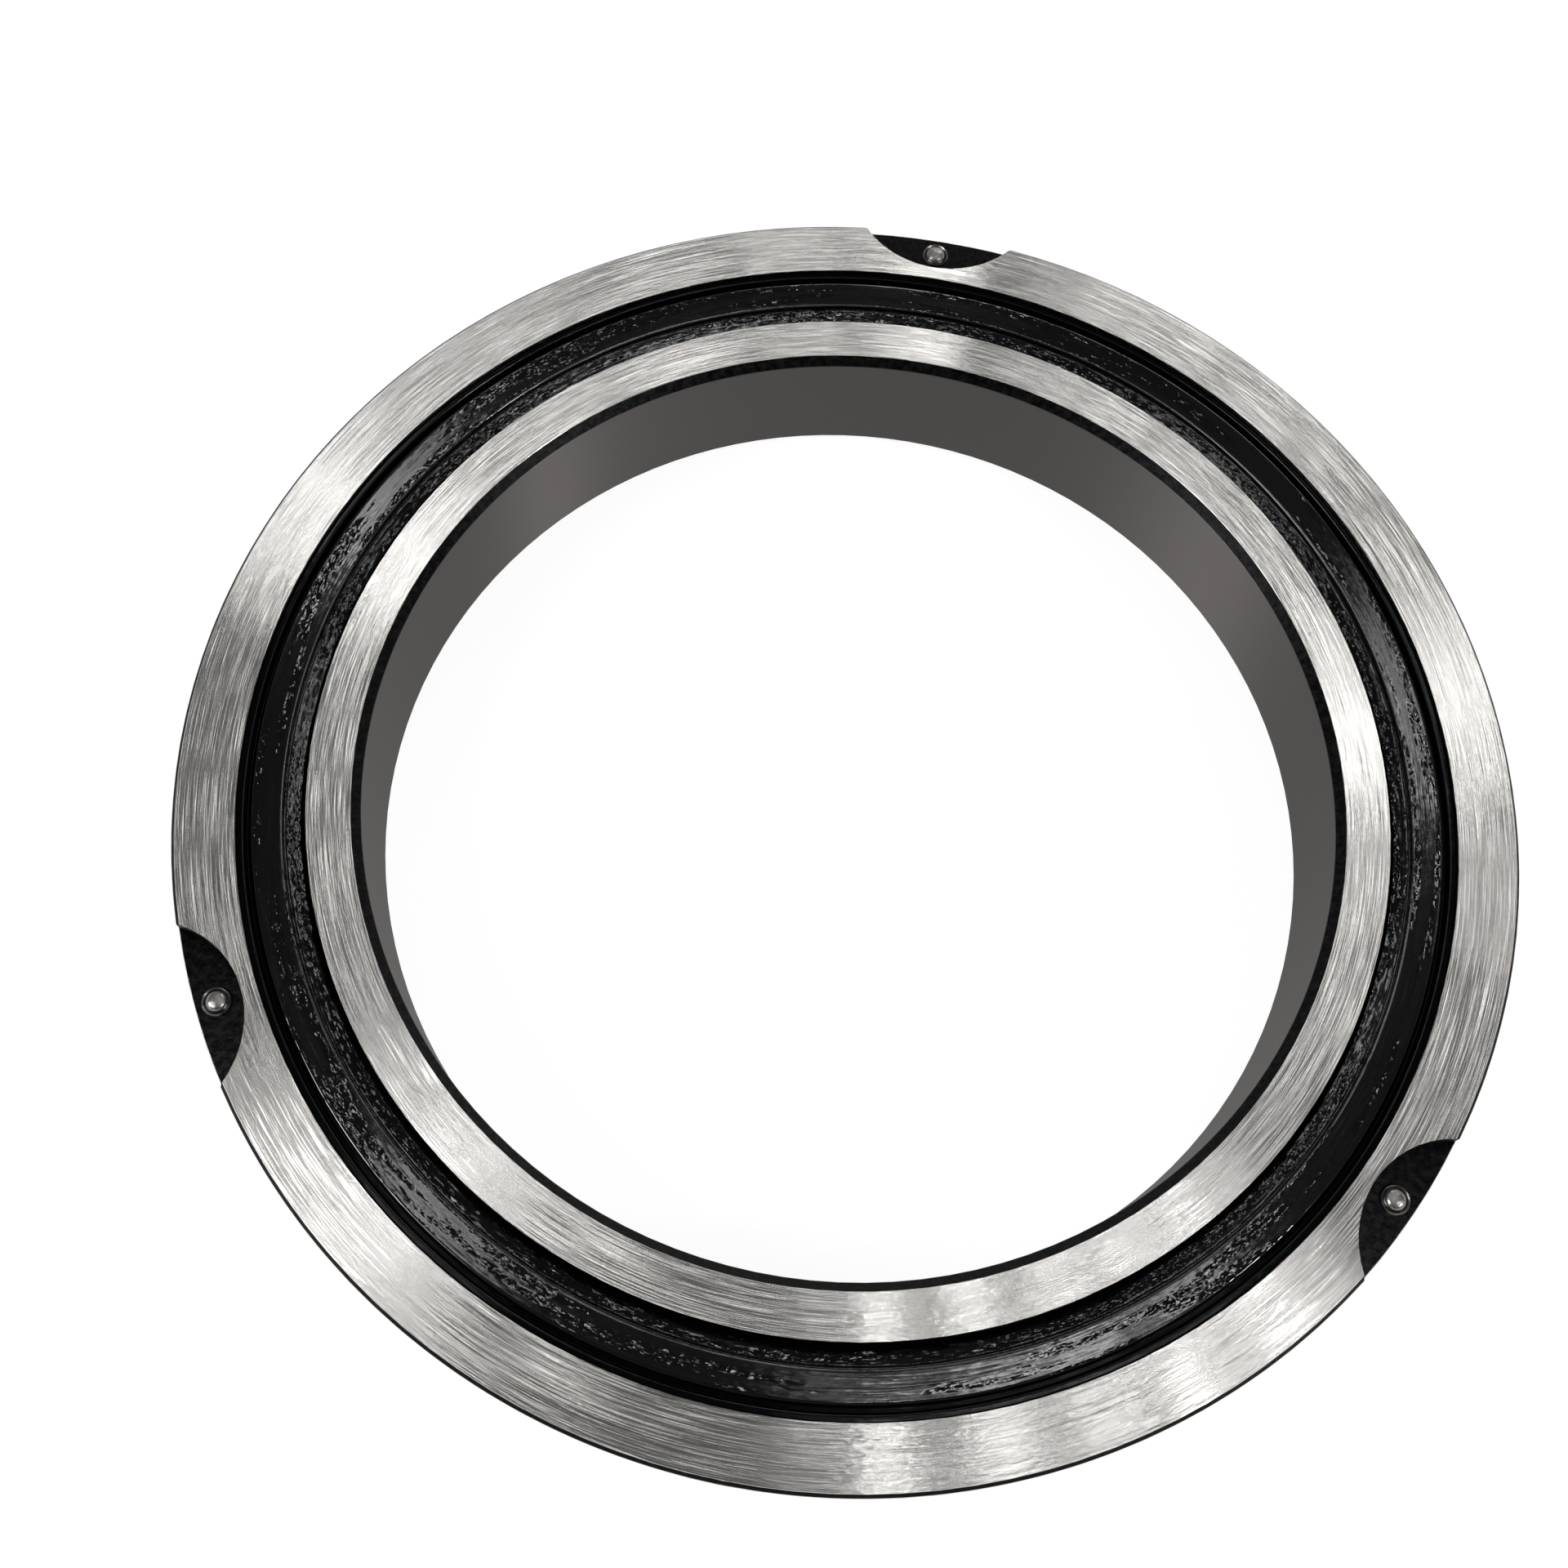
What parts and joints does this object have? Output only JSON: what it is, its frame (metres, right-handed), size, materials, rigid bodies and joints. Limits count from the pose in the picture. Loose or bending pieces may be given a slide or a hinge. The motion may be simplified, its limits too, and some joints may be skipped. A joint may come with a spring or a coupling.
{
  "type": "crossed roller bearing",
  "caption": "Thin flat ring bearing: crossed cylindrical rollers carry an inner ring inside a split, riveted and sealed outer ring.",
  "frame": {"origin": "centre of the bearing, on its axis, at mid-width", "axes": "+Z along the bearing's axis, out of the face that the picture shows; +X and +Y in the plane of the rollers, +X towards the right of the picture"},
  "size_m": [0.11, 0.11, 0.013],
  "materials": {
    "ring_steel": "ground",
    "rivet_steel": "formed",
    "roller_steel": "polished",
    "seal_rubber": "oily",
    "spacer_plastic": "moulded"
  },
  "bodies": {
    "outer_ring": {"outer_ring_upper": "ring_steel", "outer_ring_lower": "ring_steel", "seal_upper": "seal_rubber", "seal_lower": "seal_rubber", "rivet_1": "rivet_steel", "rivet_2": "rivet_steel", "rivet_3": "rivet_steel"},
    "inner_ring": {"inner_ring": "ring_steel"},
    "roller_row": {"spacers": "spacer_plastic"},
    "roller_01": {"roller_01": "roller_steel"},
    "roller_02": {"roller_02": "roller_steel"},
    "roller_03": {"roller_03": "roller_steel"},
    "roller_04": {"roller_04": "roller_steel"},
    "roller_05": {"roller_05": "roller_steel"},
    "roller_06": {"roller_06": "roller_steel"},
    "roller_07": {"roller_07": "roller_steel"},
    "roller_08": {"roller_08": "roller_steel"},
    "roller_09": {"roller_09": "roller_steel"},
    "roller_10": {"roller_10": "roller_steel"},
    "roller_11": {"roller_11": "roller_steel"},
    "roller_12": {"roller_12": "roller_steel"},
    "roller_13": {"roller_13": "roller_steel"},
    "roller_14": {"roller_14": "roller_steel"},
    "roller_15": {"roller_15": "roller_steel"},
    "roller_16": {"roller_16": "roller_steel"},
    "roller_17": {"roller_17": "roller_steel"},
    "roller_18": {"roller_18": "roller_steel"},
    "roller_19": {"roller_19": "roller_steel"},
    "roller_20": {"roller_20": "roller_steel"},
    "roller_21": {"roller_21": "roller_steel"},
    "roller_22": {"roller_22": "roller_steel"},
    "roller_23": {"roller_23": "roller_steel"},
    "roller_24": {"roller_24": "roller_steel"},
    "roller_25": {"roller_25": "roller_steel"},
    "roller_26": {"roller_26": "roller_steel"},
    "roller_27": {"roller_27": "roller_steel"},
    "roller_28": {"roller_28": "roller_steel"},
    "roller_29": {"roller_29": "roller_steel"},
    "roller_30": {"roller_30": "roller_steel"},
    "roller_31": {"roller_31": "roller_steel"},
    "roller_32": {"roller_32": "roller_steel"},
    "roller_33": {"roller_33": "roller_steel"},
    "roller_34": {"roller_34": "roller_steel"},
    "roller_35": {"roller_35": "roller_steel"},
    "roller_36": {"roller_36": "roller_steel"},
    "roller_37": {"roller_37": "roller_steel"},
    "roller_38": {"roller_38": "roller_steel"},
    "roller_39": {"roller_39": "roller_steel"},
    "roller_40": {"roller_40": "roller_steel"},
    "roller_41": {"roller_41": "roller_steel"},
    "roller_42": {"roller_42": "roller_steel"},
    "roller_43": {"roller_43": "roller_steel"},
    "roller_44": {"roller_44": "roller_steel"},
    "roller_45": {"roller_45": "roller_steel"},
    "roller_46": {"roller_46": "roller_steel"},
    "roller_47": {"roller_47": "roller_steel"},
    "roller_48": {"roller_48": "roller_steel"}
  },
  "joints": [
    {"name": "inner_spin", "type": "hinge", "parent": "outer_ring", "child": "inner_ring", "pos_m": [0, 0, 0], "axis": [0, 0, 1], "continuous": true},
    {"name": "row_orbit", "type": "hinge", "parent": "outer_ring", "child": "roller_row", "pos_m": [0, 0, 0], "axis": [0, 0, 1], "continuous": true},
    {"name": "roller_01_spin", "type": "hinge", "parent": "roller_row", "child": "roller_01", "pos_m": [0.048, 0, 0], "axis": [0.7071, 0, 0.7071], "continuous": true},
    {"name": "roller_02_spin", "type": "hinge", "parent": "roller_row", "child": "roller_02", "pos_m": [0.04759, 0.00627, 0], "axis": [0.7011, 0.0923, -0.7071], "continuous": true},
    {"name": "roller_03_spin", "type": "hinge", "parent": "roller_row", "child": "roller_03", "pos_m": [0.04636, 0.01242, 0], "axis": [0.683, 0.183, 0.7071], "continuous": true},
    {"name": "roller_04_spin", "type": "hinge", "parent": "roller_row", "child": "roller_04", "pos_m": [0.04435, 0.01837, 0], "axis": [0.6533, 0.2706, -0.7071], "continuous": true},
    {"name": "roller_05_spin", "type": "hinge", "parent": "roller_row", "child": "roller_05", "pos_m": [0.04157, 0.024, 0], "axis": [0.6124, 0.3536, 0.7071], "continuous": true},
    {"name": "roller_06_spin", "type": "hinge", "parent": "roller_row", "child": "roller_06", "pos_m": [0.03808, 0.02922, 0], "axis": [0.561, 0.4305, -0.7071], "continuous": true},
    {"name": "roller_07_spin", "type": "hinge", "parent": "roller_row", "child": "roller_07", "pos_m": [0.03394, 0.03394, 0], "axis": [0.5, 0.5, 0.7071], "continuous": true},
    {"name": "roller_08_spin", "type": "hinge", "parent": "roller_row", "child": "roller_08", "pos_m": [0.02922, 0.03808, 0], "axis": [0.4305, 0.561, -0.7071], "continuous": true},
    {"name": "roller_09_spin", "type": "hinge", "parent": "roller_row", "child": "roller_09", "pos_m": [0.024, 0.04157, 0], "axis": [0.3536, 0.6124, 0.7071], "continuous": true},
    {"name": "roller_10_spin", "type": "hinge", "parent": "roller_row", "child": "roller_10", "pos_m": [0.01837, 0.04435, 0], "axis": [0.2706, 0.6533, -0.7071], "continuous": true},
    {"name": "roller_11_spin", "type": "hinge", "parent": "roller_row", "child": "roller_11", "pos_m": [0.01242, 0.04636, 0], "axis": [0.183, 0.683, 0.7071], "continuous": true},
    {"name": "roller_12_spin", "type": "hinge", "parent": "roller_row", "child": "roller_12", "pos_m": [0.00627, 0.04759, 0], "axis": [0.0923, 0.7011, -0.7071], "continuous": true},
    {"name": "roller_13_spin", "type": "hinge", "parent": "roller_row", "child": "roller_13", "pos_m": [0, 0.048, 0], "axis": [0, 0.7071, 0.7071], "continuous": true},
    {"name": "roller_14_spin", "type": "hinge", "parent": "roller_row", "child": "roller_14", "pos_m": [-0.00627, 0.04759, 0], "axis": [-0.0923, 0.7011, -0.7071], "continuous": true},
    {"name": "roller_15_spin", "type": "hinge", "parent": "roller_row", "child": "roller_15", "pos_m": [-0.01242, 0.04636, 0], "axis": [-0.183, 0.683, 0.7071], "continuous": true},
    {"name": "roller_16_spin", "type": "hinge", "parent": "roller_row", "child": "roller_16", "pos_m": [-0.01837, 0.04435, 0], "axis": [-0.2706, 0.6533, -0.7071], "continuous": true},
    {"name": "roller_17_spin", "type": "hinge", "parent": "roller_row", "child": "roller_17", "pos_m": [-0.024, 0.04157, 0], "axis": [-0.3536, 0.6124, 0.7071], "continuous": true},
    {"name": "roller_18_spin", "type": "hinge", "parent": "roller_row", "child": "roller_18", "pos_m": [-0.02922, 0.03808, 0], "axis": [-0.4305, 0.561, -0.7071], "continuous": true},
    {"name": "roller_19_spin", "type": "hinge", "parent": "roller_row", "child": "roller_19", "pos_m": [-0.03394, 0.03394, 0], "axis": [-0.5, 0.5, 0.7071], "continuous": true},
    {"name": "roller_20_spin", "type": "hinge", "parent": "roller_row", "child": "roller_20", "pos_m": [-0.03808, 0.02922, 0], "axis": [-0.561, 0.4305, -0.7071], "continuous": true},
    {"name": "roller_21_spin", "type": "hinge", "parent": "roller_row", "child": "roller_21", "pos_m": [-0.04157, 0.024, 0], "axis": [-0.6124, 0.3536, 0.7071], "continuous": true},
    {"name": "roller_22_spin", "type": "hinge", "parent": "roller_row", "child": "roller_22", "pos_m": [-0.04435, 0.01837, 0], "axis": [-0.6533, 0.2706, -0.7071], "continuous": true},
    {"name": "roller_23_spin", "type": "hinge", "parent": "roller_row", "child": "roller_23", "pos_m": [-0.04636, 0.01242, 0], "axis": [-0.683, 0.183, 0.7071], "continuous": true},
    {"name": "roller_24_spin", "type": "hinge", "parent": "roller_row", "child": "roller_24", "pos_m": [-0.04759, 0.00627, 0], "axis": [-0.7011, 0.0923, -0.7071], "continuous": true},
    {"name": "roller_25_spin", "type": "hinge", "parent": "roller_row", "child": "roller_25", "pos_m": [-0.048, 0, 0], "axis": [-0.7071, 0, 0.7071], "continuous": true},
    {"name": "roller_26_spin", "type": "hinge", "parent": "roller_row", "child": "roller_26", "pos_m": [-0.04759, -0.00627, 0], "axis": [-0.7011, -0.0923, -0.7071], "continuous": true},
    {"name": "roller_27_spin", "type": "hinge", "parent": "roller_row", "child": "roller_27", "pos_m": [-0.04636, -0.01242, 0], "axis": [-0.683, -0.183, 0.7071], "continuous": true},
    {"name": "roller_28_spin", "type": "hinge", "parent": "roller_row", "child": "roller_28", "pos_m": [-0.04435, -0.01837, 0], "axis": [-0.6533, -0.2706, -0.7071], "continuous": true},
    {"name": "roller_29_spin", "type": "hinge", "parent": "roller_row", "child": "roller_29", "pos_m": [-0.04157, -0.024, 0], "axis": [-0.6124, -0.3536, 0.7071], "continuous": true},
    {"name": "roller_30_spin", "type": "hinge", "parent": "roller_row", "child": "roller_30", "pos_m": [-0.03808, -0.02922, 0], "axis": [-0.561, -0.4305, -0.7071], "continuous": true},
    {"name": "roller_31_spin", "type": "hinge", "parent": "roller_row", "child": "roller_31", "pos_m": [-0.03394, -0.03394, 0], "axis": [-0.5, -0.5, 0.7071], "continuous": true},
    {"name": "roller_32_spin", "type": "hinge", "parent": "roller_row", "child": "roller_32", "pos_m": [-0.02922, -0.03808, 0], "axis": [-0.4305, -0.561, -0.7071], "continuous": true},
    {"name": "roller_33_spin", "type": "hinge", "parent": "roller_row", "child": "roller_33", "pos_m": [-0.024, -0.04157, 0], "axis": [-0.3536, -0.6124, 0.7071], "continuous": true},
    {"name": "roller_34_spin", "type": "hinge", "parent": "roller_row", "child": "roller_34", "pos_m": [-0.01837, -0.04435, 0], "axis": [-0.2706, -0.6533, -0.7071], "continuous": true},
    {"name": "roller_35_spin", "type": "hinge", "parent": "roller_row", "child": "roller_35", "pos_m": [-0.01242, -0.04636, 0], "axis": [-0.183, -0.683, 0.7071], "continuous": true},
    {"name": "roller_36_spin", "type": "hinge", "parent": "roller_row", "child": "roller_36", "pos_m": [-0.00627, -0.04759, 0], "axis": [-0.0923, -0.7011, -0.7071], "continuous": true},
    {"name": "roller_37_spin", "type": "hinge", "parent": "roller_row", "child": "roller_37", "pos_m": [0, -0.048, 0], "axis": [0, -0.7071, 0.7071], "continuous": true},
    {"name": "roller_38_spin", "type": "hinge", "parent": "roller_row", "child": "roller_38", "pos_m": [0.00627, -0.04759, 0], "axis": [0.0923, -0.7011, -0.7071], "continuous": true},
    {"name": "roller_39_spin", "type": "hinge", "parent": "roller_row", "child": "roller_39", "pos_m": [0.01242, -0.04636, 0], "axis": [0.183, -0.683, 0.7071], "continuous": true},
    {"name": "roller_40_spin", "type": "hinge", "parent": "roller_row", "child": "roller_40", "pos_m": [0.01837, -0.04435, 0], "axis": [0.2706, -0.6533, -0.7071], "continuous": true},
    {"name": "roller_41_spin", "type": "hinge", "parent": "roller_row", "child": "roller_41", "pos_m": [0.024, -0.04157, 0], "axis": [0.3536, -0.6124, 0.7071], "continuous": true},
    {"name": "roller_42_spin", "type": "hinge", "parent": "roller_row", "child": "roller_42", "pos_m": [0.02922, -0.03808, 0], "axis": [0.4305, -0.561, -0.7071], "continuous": true},
    {"name": "roller_43_spin", "type": "hinge", "parent": "roller_row", "child": "roller_43", "pos_m": [0.03394, -0.03394, 0], "axis": [0.5, -0.5, 0.7071], "continuous": true},
    {"name": "roller_44_spin", "type": "hinge", "parent": "roller_row", "child": "roller_44", "pos_m": [0.03808, -0.02922, 0], "axis": [0.561, -0.4305, -0.7071], "continuous": true},
    {"name": "roller_45_spin", "type": "hinge", "parent": "roller_row", "child": "roller_45", "pos_m": [0.04157, -0.024, 0], "axis": [0.6124, -0.3536, 0.7071], "continuous": true},
    {"name": "roller_46_spin", "type": "hinge", "parent": "roller_row", "child": "roller_46", "pos_m": [0.04435, -0.01837, 0], "axis": [0.6533, -0.2706, -0.7071], "continuous": true},
    {"name": "roller_47_spin", "type": "hinge", "parent": "roller_row", "child": "roller_47", "pos_m": [0.04636, -0.01242, 0], "axis": [0.683, -0.183, 0.7071], "continuous": true},
    {"name": "roller_48_spin", "type": "hinge", "parent": "roller_row", "child": "roller_48", "pos_m": [0.04759, -0.00627, 0], "axis": [0.7011, -0.0923, -0.7071], "continuous": true}
  ],
  "couplings": [
    {"joint": "row_orbit", "follows": "inner_spin", "ratio": 0.48159},
    {"joint": "roller_01_spin", "follows": "inner_spin", "ratio": -9.587},
    {"joint": "roller_02_spin", "follows": "inner_spin", "ratio": 9.587},
    {"joint": "roller_03_spin", "follows": "inner_spin", "ratio": -9.587},
    {"joint": "roller_04_spin", "follows": "inner_spin", "ratio": 9.587},
    {"joint": "roller_05_spin", "follows": "inner_spin", "ratio": -9.587},
    {"joint": "roller_06_spin", "follows": "inner_spin", "ratio": 9.587},
    {"joint": "roller_07_spin", "follows": "inner_spin", "ratio": -9.587},
    {"joint": "roller_08_spin", "follows": "inner_spin", "ratio": 9.587},
    {"joint": "roller_09_spin", "follows": "inner_spin", "ratio": -9.587},
    {"joint": "roller_10_spin", "follows": "inner_spin", "ratio": 9.587},
    {"joint": "roller_11_spin", "follows": "inner_spin", "ratio": -9.587},
    {"joint": "roller_12_spin", "follows": "inner_spin", "ratio": 9.587},
    {"joint": "roller_13_spin", "follows": "inner_spin", "ratio": -9.587},
    {"joint": "roller_14_spin", "follows": "inner_spin", "ratio": 9.587},
    {"joint": "roller_15_spin", "follows": "inner_spin", "ratio": -9.587},
    {"joint": "roller_16_spin", "follows": "inner_spin", "ratio": 9.587},
    {"joint": "roller_17_spin", "follows": "inner_spin", "ratio": -9.587},
    {"joint": "roller_18_spin", "follows": "inner_spin", "ratio": 9.587},
    {"joint": "roller_19_spin", "follows": "inner_spin", "ratio": -9.587},
    {"joint": "roller_20_spin", "follows": "inner_spin", "ratio": 9.587},
    {"joint": "roller_21_spin", "follows": "inner_spin", "ratio": -9.587},
    {"joint": "roller_22_spin", "follows": "inner_spin", "ratio": 9.587},
    {"joint": "roller_23_spin", "follows": "inner_spin", "ratio": -9.587},
    {"joint": "roller_24_spin", "follows": "inner_spin", "ratio": 9.587},
    {"joint": "roller_25_spin", "follows": "inner_spin", "ratio": -9.587},
    {"joint": "roller_26_spin", "follows": "inner_spin", "ratio": 9.587},
    {"joint": "roller_27_spin", "follows": "inner_spin", "ratio": -9.587},
    {"joint": "roller_28_spin", "follows": "inner_spin", "ratio": 9.587},
    {"joint": "roller_29_spin", "follows": "inner_spin", "ratio": -9.587},
    {"joint": "roller_30_spin", "follows": "inner_spin", "ratio": 9.587},
    {"joint": "roller_31_spin", "follows": "inner_spin", "ratio": -9.587},
    {"joint": "roller_32_spin", "follows": "inner_spin", "ratio": 9.587},
    {"joint": "roller_33_spin", "follows": "inner_spin", "ratio": -9.587},
    {"joint": "roller_34_spin", "follows": "inner_spin", "ratio": 9.587},
    {"joint": "roller_35_spin", "follows": "inner_spin", "ratio": -9.587},
    {"joint": "roller_36_spin", "follows": "inner_spin", "ratio": 9.587},
    {"joint": "roller_37_spin", "follows": "inner_spin", "ratio": -9.587},
    {"joint": "roller_38_spin", "follows": "inner_spin", "ratio": 9.587},
    {"joint": "roller_39_spin", "follows": "inner_spin", "ratio": -9.587},
    {"joint": "roller_40_spin", "follows": "inner_spin", "ratio": 9.587},
    {"joint": "roller_41_spin", "follows": "inner_spin", "ratio": -9.587},
    {"joint": "roller_42_spin", "follows": "inner_spin", "ratio": 9.587},
    {"joint": "roller_43_spin", "follows": "inner_spin", "ratio": -9.587},
    {"joint": "roller_44_spin", "follows": "inner_spin", "ratio": 9.587},
    {"joint": "roller_45_spin", "follows": "inner_spin", "ratio": -9.587},
    {"joint": "roller_46_spin", "follows": "inner_spin", "ratio": 9.587},
    {"joint": "roller_47_spin", "follows": "inner_spin", "ratio": -9.587},
    {"joint": "roller_48_spin", "follows": "inner_spin", "ratio": 9.587}
  ]
}
